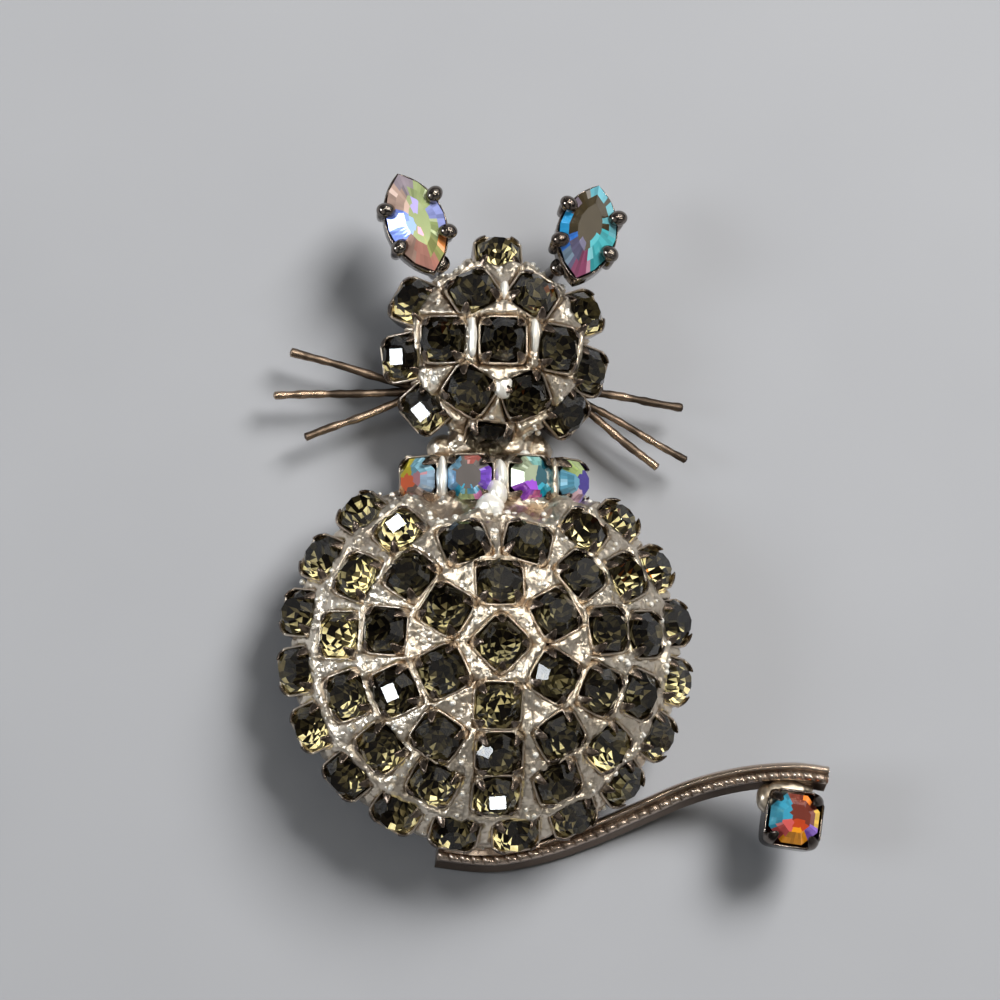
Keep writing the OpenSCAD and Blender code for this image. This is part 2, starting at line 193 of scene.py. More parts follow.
# Block between two corners
def blockPart(low, high, **extra):
    (x0, y0, z0), (x1, y1, z1) = low, high
    square = [(x0, y0), (x1, y0), (x1, y1), (x0, y1)]
    return loftPart(np.array([[(x, y, z) for x, y in square] for z in (z0, z1)]), smooth=False, **extra)


# Round bar along a path: point = path + r (side cos p + up sin p), with a small flat face at its ends
def barPart(path, radius, columns=16, **extra):
    step = np.gradient(path, axis=0)
    step /= np.linalg.norm(step, axis=1)[:, None]
    side = np.cross(step, [0, 0, 1.0] if abs(step[0, 2]) < 0.9 else [1.0, 0, 0])
    side /= np.linalg.norm(side, axis=1)[:, None]
    p = around(columns)[:, None]
    spread = side[:, None] * np.cos(p) + np.cross(side, step)[:, None] * np.sin(p)
    return loftPart(path[:, None] + spread * np.asarray(radius)[:, None, None], **extra)


# A new object in the scene
def addObject(name, data):
    made = bpy.data.objects.new(name, data)
    bpy.context.scene.collection.objects.link(made)
    return made


# One mesh object out of parts. A part is a dictionary: points, faces, material or one index a
# face, smooth, marks (a value for each point) and paint (a colour for each face)
def makePiece(name, parts, materials, replaced):
    points = np.vstack([part["points"] for part in parts]) * mm
    faces, indices, smooth, marks, paint, start = [], [], [], {}, [], 0
    for part in parts:
        block = []
        for group in part["faces"]:
            block += (group + start).tolist()
        faces += block
        indices += list(part.get("indices", [part.get("material", 0)] * len(block)))
        smooth += [part.get("smooth", True)] * len(block)
        paint.append(part.get("paint", np.ones((len(block), 4))))
        for key, values in part.get("marks", {}).items():
            marks.setdefault(key, np.zeros(len(points), np.float32))[start:start + len(values)] = values
        start += len(part["points"])
    mesh = bpy.data.meshes.new(name)
    mesh.from_pydata(points.tolist(), [], faces)
    for m in materials:
        mesh.materials.append(m)
    mesh.polygons.foreach_set("material_index", np.array(indices, np.int32))
    mesh.polygons.foreach_set("use_smooth", np.array(smooth, bool))
    for key, values in marks.items():
        mesh.attributes.new(key, "FLOAT", "POINT").data.foreach_set("value", values)
    if any("paint" in part for part in parts):
        corners = np.repeat(np.vstack(paint), [len(f) for f in faces], axis=0).astype(np.float32)
        layer = mesh.color_attributes.new("paint", "FLOAT_COLOR", "CORNER")
        layer.data.foreach_set("color", corners.ravel())
    mesh.update()
    piece = addObject(name, mesh)
    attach(piece, "root")
    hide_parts(*replaced)
    print("made", name, "with", len(mesh.polygons), "faces")


# Links a node's inputs to sockets, or sets them
def feed(tree, node, inputs):
    for key, value in inputs.items():
        if isinstance(value, bpy.types.NodeSocket):
            tree.links.new(value, node.inputs[key])
        else:
            node.inputs[key].default_value = value


# Adds a node with its settings and inputs, and gives it back
def addNode(tree, kind, inputs={}, **settings):
    made = tree.nodes.new(kind)
    for key, value in settings.items():
        setattr(made, key, value)
    feed(tree, made, inputs)
    return made


# Adds a math node and gives back its result
def addMath(tree, operation, *values, **settings):
    made = addNode(tree, "ShaderNodeMath", dict(enumerate(values)), operation=operation, **settings)
    return made.outputs[0]


# Adds noise at a place and gives back its value
def addNoise(tree, where, scale, detail):
    made = addNode(tree, "ShaderNodeTexNoise", {"Vector": where, "Scale": scale, "Detail": detail})
    return made.outputs["Fac"]


wear = {"softness": (0.08, 0.14), "patchDetail": 3.0, "grainDetail": 4.0, "roundness": 0.6, "hill": -0.9,
        "toneScale": 170.0, "toneDetail": 1.0}


# Old plating: patches of tarnish where a noise passes a level, and a height of noise minus
# 0.9 times the distance to the nearest grain's middle
def buildPlatingWear():
    tree = bpy.data.node_groups.new("platingWear", "ShaderNodeTree")
    for way, names in (("INPUT", ("Patch", "Grain", "Level")), ("OUTPUT", ("Tarnish", "Height", "Tone"))):
        for key in names:
            tree.interface.new_socket(key, in_out=way, socket_type="NodeSocketFloat")
    patchScale, grainScale, level = addNode(tree, "NodeGroupInput").outputs[:3]
    where = addNode(tree, "ShaderNodeTexCoord").outputs["Object"]
    patch = addNoise(tree, where, patchScale, wear["patchDetail"])
    mask = addNode(tree, "ShaderNodeMapRange", {
        "Value": patch, "From Min": addMath(tree, "SUBTRACT", level, wear["softness"][0]),
        "From Max": addMath(tree, "ADD", level, wear["softness"][1])}, interpolation_type="SMOOTHSTEP")
    lumps = addNode(tree, "ShaderNodeTexVoronoi", {
        "Vector": where, "Scale": grainScale, "Smoothness": wear["roundness"]}, feature="SMOOTH_F1")
    hills = addMath(tree, "MULTIPLY", lumps.outputs["Distance"], wear["hill"])
    height = addMath(tree, "ADD", hills, addNoise(tree, where, grainScale, wear["grainDetail"]))
    tone = addNoise(tree, where, wear["toneScale"], wear["toneDetail"])
    addNode(tree, "NodeGroupOutput", {"Tarnish": mask.outputs["Result"], "Height": height, "Tone": tone})
    return tree


platingWear = buildPlatingWear()


# A new material with its tree and its Principled shader, settings made
def newMaterial(name, settings):
    made = bpy.data.materials.new(name)
    made.use_nodes = True
    shader = made.node_tree.nodes["Principled BSDF"]
    feed(made.node_tree, shader, settings)
    return made, made.node_tree, shader


# A mix of two colours by a factor, and its result
def mixColour(tree, factor, a, b, blend="MIX"):
    kinds = {"data_type": "RGBA", "blend_type": blend}
    return addNode(tree, "ShaderNodeMix", {"Factor": factor, "A": a, "B": b}, **kinds).outputs["Result"]


# Metals: colours when clean, clean and warm, and tarnished; roughness from clean to dirty; the
# wear's patch and grain scales and its level; bump and its depth; how far the dirt covers
metals = {
    "solderMetal": ((0.9, 0.83, 0.71), (0.77, 0.65, 0.51), (0.34, 0.22, 0.145), (0.3, 0.5), 620, 2300, 0.53,
                    0.85, 0.12, 0.85),
    "cupMetal": ((0.88, 0.81, 0.69), (0.72, 0.56, 0.42), (0.1, 0.07, 0.055), (0.33, 0.2), 700, 2600, 0.5,
                 0.6, 0.07, 0.9),
    "tailMetal": ((0.7, 0.6, 0.51), (0.52, 0.39, 0.3), (0.09, 0.062, 0.045), (0.24, 0.42), 420, 2600, 0.5,
                  0.35, 0.03, 0.85),
    "prongMetal": ((0.26, 0.24, 0.22), (0.16, 0.12, 0.1), (0.05, 0.04, 0.035), (0.1, 0.26), 700, 3000, 0.5,
                   0.2, 0.02, 0.8),
    "wireMetal": ((0.3, 0.25, 0.2), (0.52, 0.36, 0.25), (0.06, 0.045, 0.035), (0.25, 0.45), 350, 2400, 0.47,
                  0.3, 0.03, 0.9),
    "pinMetal": ((0.66, 0.64, 0.6), (0.56, 0.52, 0.46), (0.25, 0.2, 0.15), (0.28, 0.45), 300, 2200, 0.58,
                 0.2, 0.02, 0.7),
    "tailSolder": ((0.8, 0.74, 0.64), (0.6, 0.5, 0.38), (0.22, 0.16, 0.1), (0.28, 0.45), 520, 3000, 0.55,
                   0.4, 0.04, 0.7),
    "whiteSolder": ((0.95, 0.93, 0.87), (0.9, 0.87, 0.78), (0.5, 0.42, 0.3), (0.3, 0.42), 520, 3000, 0.68,
                    0.3, 0.03, 0.6),
}
recessed = ("solderMetal", "cupMetal", "tailMetal", "prongMetal")  # worn by their meshes' recess marks
halfMetal = {"whiteSolder": 0.55}  # the others are metal through and through


# Plated metal: colour = clean to tarnish by dirt, and dirt = (wear * recess + recess) * its share.
# Roughness follows the dirt, and the bump follows the wear's height
def platedMetal(name):
    clean, warm, tarnish, (smooth, dull), patch, grain, level, strength, depth, share = metals[name]
    made, tree, shader = newMaterial(name, {"Metallic": halfMetal.get(name, 1)})
    scales = {"Patch": patch, "Grain": grain, "Level": level}
    worn = addNode(tree, "ShaderNodeGroup", scales, node_tree=platingWear)
    dirt = worn.outputs["Tarnish"]
    if name in recessed:
        recess = addNode(tree, "ShaderNodeAttribute", attribute_name="recess").outputs["Fac"]
        dirt = addMath(tree, "ADD", addMath(tree, "MULTIPLY", dirt, recess), recess, use_clamp=True)
    dirt = addMath(tree, "MULTIPLY", dirt, share)
    bright = mixColour(tree, worn.outputs["Tone"], (*clean, 1), (*warm, 1))
    rough = addNode(tree, "ShaderNodeMapRange", {"Value": dirt, "To Min": smooth, "To Max": dull})
    bump = addNode(tree, "ShaderNodeBump", {
        "Height": worn.outputs["Height"], "Strength": strength, "Distance": depth * mm})
    feed(tree, shader, {
        "Base Color": mixColour(tree, dirt, bright, (*tarnish, 1)), "Roughness": rough.outputs["Result"],
        "Normal": bump.outputs["Normal"]})
    return made


solderMetal, cupMetal, tailMetal, prongMetal, wireMetal, pinMetal, tailSolder, whiteSolder = (
    platedMetal(name) for name in metals)


# Stones' materials: their noise, its two tones, and the shader's settings. Foil and rainbow glass have a
# painted glow
stoneLooks = {
    "smokeGlass": (260.0, (0.85, 0.82, 0.7, 1), (0.7, 0.62, 0.5, 1), {
        "Roughness": 0.0, "IOR": 1.56, "Specular IOR Level": 0.1, "Transmission Weight": 1.0}),
    # painted glow: the foil gives out its own painted light at full strength
    "emissiveFoil": (2200.0, (1.7, 1.62, 1.18, 1), (0.2, 0.17, 0.11, 1), {
        "Emission Strength": 1.0, "Metallic": 1.0, "Roughness": 0.3}),
    # painted glow: the rainbow facets give out a little of their colour as light
    "emissiveRainbowFacets": (900.0, (1.0, 1.0, 1.0, 1), (0.72, 0.72, 0.72, 1), {
        "Emission Strength": 0.12, "Metallic": 0.35, "Roughness": 0.09, "IOR": 1.6, "Coat Weight": 1.0,
        "Coat Roughness": 0.02}),
}


# Glass or foil: colour = two tones mixed by soft noise, times the paint on the piece's faces. Foil
# and rainbow glass also give out that colour as a painted glow, light from no lamp
def paintedStone(name):
    scale, light, dark, settings = stoneLooks[name]
    made, tree, shader = newMaterial(name, settings)
    cloud = addNoise(tree, addNode(tree, "ShaderNodeTexCoord").outputs["Object"], scale, 1.0)
    paint = addNode(tree, "ShaderNodeAttribute", attribute_name="paint").outputs["Color"]
    colour = mixColour(tree, 1.0, mixColour(tree, cloud, light, dark), paint, "MULTIPLY")
    feed(tree, shader, {"Base Color": colour})
    # painted glow: the paint's colour is also given out as light
    if "Emission Strength" in settings:
        feed(tree, shader, {"Emission Color": colour})
    return made


smokeGlass, emissiveFoil, emissiveRainbowFacets = (paintedStone(name) for name in stoneLooks)

cup = {
    "corner": (0, 3.5, 6.5, 9, 11, 15, 27),  # angles from a prong's middle where columns stand
    "half": 1.8, "stoneR": 1.65, "prongAngle": 11.0, "squareness": 6.0, "dip": 0.12,
    "sideZ": -0.86, "tipZ": -0.14, "leanZ": -1.3, "leanPower": 1.8, "wall": 0.2, "tipR": 1.47,
    "rise": (0, 0.35, 0.55, 0.68, 0.78, 0.87, 0.94, 1), "fall": (0.06, 0.3, 0.6, 1),
    "shelf": (1.05, -1.62), "floor": (0.3, -2.32),  # radius and height inside, below the stone
    "darkFoot": (-2.2, 1.6), "darkTip": (-0.84, 0.3),  # height where tarnish starts, and over how much
    "prongPower": 2.5, "tipRise": 0.04, "least": 1.4, "sink": 0.35, "clear": 0.03,
}


# Angles of a cup's columns, how far each is from a prong, and its outline,
# r = half / (|cos u|^6 + |sin u|^6)^(1/6)
def cupOutline(half):
    near = np.array(cup["corner"], float)
    offsets = np.concatenate([[-45], -near[:0:-1], near])
    u = np.radians((np.arange(4)[:, None] * 90 + 45 + offsets).ravel())
    power = cup["squareness"]
    far = (np.abs(np.cos(u)) ** power + np.abs(np.sin(u)) ** power) ** (1 / power)
    return u, np.abs(np.tile(offsets, 4)), half / far


# Depth at which each cup's wall meets a dome: along -out from p the sphere of radius r is met at
# d = b - sqrt(b^2 - |p - c|^2 + r^2), b = (p - c).out. No foot comes below the dome's own rim
def footDepths(seats, half, dome, sink, deepest, rimmed=True):
    u, _, outline = cupOutline(half)
    flat = flatRing(circle(u) * outline[:, None], 0)
    at = carryTo(seats, flat[None]).reshape(-1, len(u), 3)
    ray, out = at - domeCentre(dome), seats["axes"][:, None, 2]
    b = (ray * out).sum(-1)
    root = b ** 2 - (ray ** 2).sum(-1) + (dome["plateR"] - sink) ** 2
    depth = np.where(root > 0, b - np.sqrt(np.maximum(root, 0)), deepest)
    if rimmed:
        depth = np.minimum(depth, (at[..., 2] - dome["rimZ"] - cup["clear"]) / out[..., 2])
    return np.clip(depth, cup["least"], deepest)


# Four-prong cups, (seats, rows, columns, 3). The top edge rises from the sides to a finger at
# each corner, sqrt(1 - (off / 11)^2.5), which leans in by a power of z
def cupShape(half, stoneR, depth):
    u, off, outline = cupOutline(half)
    prong = np.sqrt(np.clip(1 - (off / cup["prongAngle"]) ** cup["prongPower"], 0, 1))
    bends = off <= cup["prongAngle"]
    dip = cup["dip"] * np.cos(np.radians(2 * (45 - off))) * (1 - prong)
    top = cup["sideZ"] - dip + (cup["tipZ"] - cup["sideZ"]) * prong + 0 * depth
    size = stoneR / cup["stoneR"]

    # A wall's point: r = outline + (tip - outline) * lean - inset, lean = ((z - low) / (tip - low))^1.8
    def wallPoint(z, inset):
        lean = np.clip((z - cup["leanZ"]) / (cup["tipZ"] - cup["leanZ"]), 0, 1) ** cup["leanPower"]
        r = outline + (cup["tipR"] * size - outline) * lean * bends - inset
        return np.stack([r * np.cos(u), r * np.sin(u), z], -1)

    rows = [wallPoint(-depth + (top + depth) * t, 0) for t in cup["rise"]]
    rows.append(wallPoint(top + cup["tipRise"], cup["wall"] / 2))
    rows += [wallPoint(top + (cup["leanZ"] - top) * t, cup["wall"]) for t in cup["fall"]]
    for r, z in ((cup["shelf"][0] * size, cup["shelf"][1]), cup["floor"]):
        rows.append(np.stack([r * np.cos(u) + 0 * depth, r * np.sin(u) + 0 * depth, z + 0 * depth], -1))
    return np.stack(rows, 1)


# Cups at every seat, as one part. Tarnish = how far z is past each of its two heights
def cupPart(seats, half, stoneR, depth, material):
    local = cupShape(half, stoneR, depth)
    count, rows, columns = local.shape[:3]
    local = local.reshape(count, -1, 3)
    foot = np.arange(columns)[None]
    faces = [ringQuads(rows, columns), foot[:, ::-1], (rows - 1) * columns + foot]
    z = local[..., 2].ravel()
    (low, lowSpan), (tip, tipSpan) = cup["darkFoot"], cup["darkTip"]
    recess = np.maximum(1 - np.clip((z - low) / lowSpan, 0, 1), np.clip((z - tip) / tipSpan, 0, 1))
    points = carryTo(seats, local).reshape(local.shape)
    return repeatPart(points, faces, material=material, marks={"recess": recess})


solder = {"cupHalf": 1.75, "fill": 0.3, "web": 1.42, "steep": 1.3, "ahead": 0.5, "inset": 0.12, "fade": 0.4,
          "least": 0.02, "long": (3.6, 1.1, 14, 3), "short": (0.9, 0.45, 16, 5)}  # wavelengths, count, seed


# Solder's height over a dome's plate along each way: fill + web (1 - exp(-1.3 near)) + waves, where
# near sums exp(-(gap / reach)^2) over the cups, and none of it inside a cup; and the least gap
def solderLift(way, dome):
    at = domeCentre(dome) + way * dome["plateR"]
    near, free, least = np.zeros(len(way)), np.ones(len(way)), np.full(len(way), math.inf)
    for place, (down, side, out) in zip(dome["seats"]["at"], dome["seats"]["axes"]):
        x, y = (np.abs((at - place) @ axis) - solder["cupHalf"] for axis in (down, side))
        gap = np.hypot(np.maximum(x, 0), np.maximum(y, 0))
        ahead = way @ out > solder["ahead"]
        near += np.exp(-(gap / dome["reach"]) ** 2) * ahead
        clear = np.clip(1 + (np.maximum(x, y) + solder["inset"]) / solder["fade"], 0, 1)
        free *= np.where(ahead, clear, 1)
        least = np.where(ahead, np.minimum(least, gap), least)
    lift = solder["fill"] + solder["web"] * (1 - np.exp(-solder["steep"] * near))
    lift += dome["wave"] * waves(at, *solder["long"]) + dome["ripple"] * waves(at, *solder["short"])
    return lift * free + solder["least"], least


bead = {"tries": 6000, "spread": 62, "gap": (0.16, 1.2), "size": (0.1, 0.26), "shape": (0.02, 4, 6, 8)}


# Beads of solder, small low balls, strewn over a plate between its cups, evenly over the cap up
# to 62 degrees from its top: cos t is even between cos 62 and 1
def beadPart(dome, material, seed):
    pick = np.random.default_rng(seed)
    t = np.arccos(pick.uniform(math.cos(math.radians(bead["spread"])), 1, bead["tries"]))
    way = sphereWays(t, pick.uniform(0, 2 * math.pi, bead["tries"]))
    lift, least = solderLift(way, dome)
    keep = np.flatnonzero((least > bead["gap"][0]) & (least < bead["gap"][1]))[:dome["beads"]]
    size = pick.uniform(*bead["size"], len(keep))
    ball = lumpPart((0, 0, 0), (1, 1, 1), *bead["shape"])
    middle = domeCentre(dome) + way[keep] * (dome["plateR"] + lift[keep])[:, None]
    points = middle[:, None] + ball["points"] * size[:, None, None]
    return repeatPart(points, ball["faces"], material=material)


skin = {"wall": 0.9, "insideRows": 14, "rimShare": 0.15, "rimPower": 0.7, "dark": 0.75, "lighter": 0.8,
        "inside": 0.5}


# Hollow dome: outside r = plate + solder + drops, each rise * exp(-(far / size)^2), then its rim,
# then a plain sphere inside. Tarnish = 0.75 - 0.8 lift / (fill + web)
def domePart(dome):
    r = dome["plateR"]
    inner, phi = r - skin["wall"], around(dome["columns"])
    t = np.linspace(0, rimAngle, dome["rows"] + 1)[1:]
    way = np.vstack([[0, 0, 1], sphereWays(t[:, None], phi)])
    lift, _ = solderLift(way, dome)
    for x, y, size, rise in dome["drops"]:
        drop = (x, y, math.sqrt(r ** 2 - x * x - y * y))
        lift += rise * np.exp(-(np.linalg.norm(way * r - drop, axis=1) / size) ** 2)
    edge = np.clip((rimAngle - np.append(0, np.repeat(t, len(phi)))) / math.radians(dome["edge"]), 0, 1)
    share = skin["rimShare"] + (1 - skin["rimShare"]) * edge ** skin["rimPower"]
    outside = way * (r + lift * share)[:, None]
    inside = np.linspace(math.acos(r * math.cos(rimAngle) / inner), 0, skin["insideRows"])[:-1]
    points = np.vstack([outside, sphereWays(inside[:, None], phi) * inner, [[0, 0, inner]]])
    columns, rows = len(phi), len(t) + len(inside)
    c = np.arange(columns)
    n, last = (c + 1) % columns, 1 + (rows - 1) * columns
    fans = [np.column_stack([0 * c, 1 + c, 1 + n]),
            np.column_stack([last + c, 0 * c + len(points) - 1, last + n])]
    recess = np.full(len(points), skin["inside"], np.float32)
    clean = lift / (solder["fill"] + solder["web"])
    recess[:len(outside)] = np.clip(skin["dark"] - skin["lighter"] * clean, 0, 1)
    return {"points": domeCentre(dome) + points, "faces": [ringQuads(rows, columns, 1)[:, ::-1], *fans],
            "marks": {"recess": recess}}


bodyDome["seats"] = domeSeats(ringSpots(bodyRings, widen), bodyDome)
headDome["seats"] = domeSeats(ringSpots(headRings, 0), headDome)
bodyMiddle, headMiddle = bodyDome["middle"], headDome["middle"]
ridges = [  # white ones on the head
    ((-2.25, 0.1, 8.05), (0.36, 1.45, 0.5), 0.05, 90, 2), ((2.3, 0.3, 8.0), (0.36, 1.3, 0.5), 0.05, 91, 2),
    ((0.1, -3.3, 7.5), (0.7, 0.9, 0.5), 0.05, 92, 2), ((0.2, 3.7, 7.2), (0.35, 0.8, 0.4), 0.05, 93, 2),
    ((-4.6, -2.6, 6.0), (0.4, 0.5, 0.4), 0.05, 94, 2), ((4.9, 2.2, 5.9), (0.35, 0.6, 0.4), 0.05, 95, 2)]
plateMetals = [solderMetal, cupMetal, whiteSolder]


# A plate's parts: its dome, its cups down to the dome, and its beads
def plateParts(dome, seed):
    seats = dome["seats"]
    feet = footDepths(seats, cup["half"], dome, cup["sink"], dome["cupHeight"])
    return [domePart(dome), cupPart(seats, cup["half"], cup["stoneR"], feet, 1), beadPart(dome, 2, seed)]


makePiece("bodyPlate", plateParts(bodyDome, 8), plateMetals, ["body_dome"])
headParts = plateParts(headDome, 9) + lumpParts(headMiddle, ridges)
makePiece("headPlate", headParts, plateMetals, ["head_dome"])

stoneCut = {"table": 0.56, "crown": 0.43, "girdle": 0.05, "waist": 0.6, "waistDepth": 0.4, "hip": 0.3,
            "hipDepth": 0.66, "back": 0.85, "tip": 0.035, "cornerMove": 0.03}
# The foil's paint is painted light, the glints inside the stones: most of the foil is dark, some grey, and
# a few facets flash
foilPaint = {
    "steps": [0, 0.5, 0.75, 0.93, 0.97, 1.15], "shades": [0.001, 0.008, 0.035, 0.13, 0.42, 1.25],
    "dark": (1.0, 0.8, 0.72), "grey": (1.0, 0.88, 0.58), "flash": (1.0, 0.95, 0.7),
    "orange": (1.5, 0.45, 0.08), "orangeOver": 0.99, "mood": 0.055, "rimBelow": 0.82, "rim": 0.25,
    "lean": 0.2, "rimFlash": 2, "flashOver": 0.98, "fade": 1.2}


# Round cut stone of radius r: table, eight crown facets, girdle, and a back of sixteen upper
# facets, twenty-four lower ones between two rings of corners, and eight that meet in a point
def roundStone(r):
    s = stoneCut
    a = math.pi / 8 * (1 + np.arange(16))
    waist = circle(a) * r
    rim = cutEdges(waist[::2], 2)
    low = -(s["crown"] + s["girdle"])
    points = np.vstack([
        flatRing(rim[::2] * s["table"], 0), flatRing(rim, -s["crown"] * r), flatRing(rim, low * r),
        flatRing(waist * s["waist"], (low - s["waistDepth"]) * r),
        flatRing(waist[::2] * s["hip"], (low - s["hipDepth"]) * r), [[0, 0, (low - s["back"]) * r]]])
    i, k = np.arange(8), np.arange(16)
    j, n = (i + 1) % 8, (k + 1) % 16
    crown = np.column_stack([i, 8 + 2 * i, 9 + 2 * i, 8 + 2 * j, j])
    girdle = np.column_stack([8 + k, 24 + k, 24 + n, 8 + n])
    upper = np.column_stack([24 + k, 40 + k, 40 + n, 24 + n])
    lower = np.vstack([
        np.column_stack([40 + k, 56 + ((k + 1) // 2) % 8, 40 + n]),
        np.column_stack([41 + 2 * i, 56 + i, 56 + j]), np.column_stack([56 + i, np.full(8, 64), 56 + j])])
    return points, [i[None], crown, girdle, upper, lower]


# A dome's stones at their seats, each turned and tipped a little, the back's corners moved a little.
# Those with a pane stay untipped. A front facet's shade is 1 / (1 + 1.2 u^2), and a back one's, painted
# light, is read from the steps at u + mood - lean * height / r, brighter low on each stone
def stonePart(dome, which):
    r, f, which, seats = cup["stoneR"], foilPaint, list(which), dome["seats"]
    points, faces = roundStone(r)
    stones = []
    for k in which:
        turn, tip, tilt = dice.uniform(0, math.pi / 4), *dice.normal(0, stoneCut["tip"], 2)
        if k in dome["panes"]:
            tip, tilt = 0, 0
        local = points.copy()
        local[40:64] += dice.normal(0, stoneCut["cornerMove"] * r, (24, 3))
        x, y, z = (local @ spin(turn)).T
        local = np.column_stack([x + z * tip, y + z * tilt, z - x * tip - y * tilt])
        stones.append(seats["at"][k] + local @ seats["axes"][k])
    part, count = repeatPart(np.array(stones), faces, smooth=False), len(which)
    owner = np.concatenate([np.repeat(np.arange(count), len(group)) for group in faces[3:]])
    front, behind = sum(len(group) for group in part["faces"][:3]), len(owner)
    paint = np.ones((front + behind, 4))
    paint[:front, :3] = (1 / (1 + f["fade"] * dice.uniform(0, 1, front) ** 2))[:, None]
    middles = np.vstack([part["points"][group].mean(1) for group in part["faces"][3:]])
    high = (middles - seats["at"][which][owner])[:, 1] / r
    low = (dome["middle"][1] - middles[:, 1]) / dome["tableR"]
    mood = dice.normal(0, f["mood"], count)[owner]
    # Painted light: stones on the rim and low on the dome, and the lower side of each stone, get brighter
    # foil and more flashes
    rim = ((seats["axes"][which, 2, 2] < f["rimBelow"]) * f["rim"])[owner]
    every, atRim, below = dome["glow"]
    mood += every + atRim * rim + below * low
    lot = (dice.uniform(0, 1, behind) + mood - (f["lean"] + rim) * high)[:, None]
    shade = np.interp(lot, f["steps"], f["shades"])
    # painted flashes: the rim's brightest foil facets are made brighter still
    shade *= 1 + f["rimFlash"] * rim[:, None] * (lot > f["flashOver"])
    tint = np.where(lot > f["steps"][1], [f["grey"]], [f["dark"]])
    tint = np.where(lot > f["steps"][3], [f["flash"]], tint)
    tint = np.where(dice.uniform(0, 1, (behind, 1)) > f["orangeOver"], [f["orange"]], tint)
    paint[front:, :3] = shade * tint
    return {**part, "indices": [0] * front + [1] * behind, "paint": paint}


# Stones of a dome as one piece, glass in front and foil behind, the foil glowing with painted light
def stonePiece(name, dome, which, node):
    makePiece(name, [stonePart(dome, which)], [smokeGlass, emissiveFoil], [node])


stonePiece("bodyStonesInner", bodyDome, range(18), "body_stones_inner")
stonePiece("bodyStonesOuter", bodyDome, range(18, 47), "body_stones_outer")
n = 0
for ring, (r, turns, lean) in enumerate(headRings):
    for i in range(len(turns)):
        stonePiece(f"headStone{ring}{i + 1}", headDome, [n], f"head_stone_{ring}_{i + 1}")
        n += 1

collar = {
    "middle": np.array([-4.055, 2.85, -1.1]), "tableR": 8.9, "plateR": 6.5, "half": 1.825, "stoneR": 1.725,
    "angles": (-44.5, -15.0, 17.0, 45.0), "wall": 0.9, "baseZ": 0.9, "sink": 0.4, "cupHeight": 2.9,
}
tailBox = {"at": (17.745, -21.5, 6.1), "turn": -8.0, "half": 2.125, "stoneR": 1.95, "depth": 2.9}
earCut = {"long": 7.6, "wide": 4.2, "table": (0.42, 0.52), "crown": 0.75, "girdle": 0.15, "back": 1.1}
# Rainbow cells: how much crown cells vary; painted flashes (how few, their gain and lift); how dark the
# back is, the brightest paint and the back's depth
rainbowCells = {"vary": 0.25, "flashOver": 0.94, "gain": 1.5, "lift": 0.2, "back": 0.25, "brightest": 1.3,
                "deep": 0.8}

# Colours of a rainbow stone as spots, in hundredths: place across and up as shares of its half
# size, the spot's size, and its red, green and blue, the coating's colours with painted reflections and
# glints
rainbow = {
    "collar_stone_1": [
        (-55, 50, 110, 62, 52, 5), (-30, -10, 80, 85, 17, 7), (-85, -35, 80, 95, 40, 12),
        (45, 60, 90, 20, 42, 52), (85, 0, 80, 30, 42, 55), (50, 10, 60, 60, 28, 32),
        (10, -80, 90, 20, 14, 12)],
    "collar_stone_2": [
        (0, 10, 150, 17, 15, 14), (-85, -10, 90, 12, 34, 60), (-35, -60, 60, 6, 50, 75),
        (20, -65, 50, 12, 45, 70), (-25, -100, 90, 30, 42, 20), (75, 0, 90, 14, 5, 42),
        (40, -95, 50, 70, 25, 50), (-60, 60, 60, 20, 40, 55), (10, 85, 70, 40, 12, 10)],
    "collar_stone_3": [
        (-45, 25, 100, 34, 40, 26), (-35, -50, 80, 32, 6, 62), (20, -95, 80, 42, 5, 26),
        (60, 10, 110, 1.2, 9, 12), (55, -45, 70, 2, 36, 50), (15, 85, 60, 20, 45, 42),
        (-90, -80, 60, 10, 3, 25)],
    "collar_stone_4": [
        (-85, -5, 110, 10, 30, 42), (-30, 70, 90, 32, 42, 14), (35, 10, 100, 3.5, 1.5, 22),
        (95, -30, 70, 10, 26, 75), (-30, -85, 80, 45, 30, 36), (60, -80, 60, 30, 25, 60)],
    "tail_stone": [
        (30, 40, 130, 20, 4.5, 3), (-75, 25, 120, 6, 38, 55), (-35, -40, 70, 75, 13, 12),
        (15, -20, 60, 60, 7, 2), (10, -75, 90, 100, 38, 2), (70, -50, 60, 22, 10, 50),
        (95, 20, 60, 80, 50, 5), (50, 80, 60, 90, 25, 4), (-75, 35, 14, 120, 110, 50)],
    "left_ear_stone": [
        (10, 85, 100, 36, 30, 34), (-35, 55, 80, 60, 42, 34), (30, 50, 100, 30, 36, 16),
        (20, -15, 110, 28, 34, 14), (20, -55, 80, 34, 36, 13), (10, 30, 45, 42, 36, 75),
        (-60, 5, 90, 20, 30, 85), (-25, -5, 40, 30, 45, 100), (-5, -25, 35, 90, 40, 55),
        (80, 0, 80, 30, 34, 68), (95, -25, 40, 95, 62, 25), (-10, -85, 110, 58, 26, 20),
        (60, -75, 70, 72, 24, 5), (-60, -45, 60, 60, 38, 30)],
    "right_ear_stone": [
        (0, 95, 100, 13, 42, 50), (70, 45, 80, 15, 44, 50), (-15, 20, 160, 5.5, 4, 1.8),
        (-90, -10, 100, 2, 30, 60), (-60, -35, 50, 5, 22, 75), (50, -40, 100, 6, 40, 44),
        (-25, -50, 70, 13, 12, 20), (-60, -75, 80, 20, 28, 36), (0, -90, 90, 30, 8, 16),
        (-70, 50, 60, 25, 20, 25)],
}


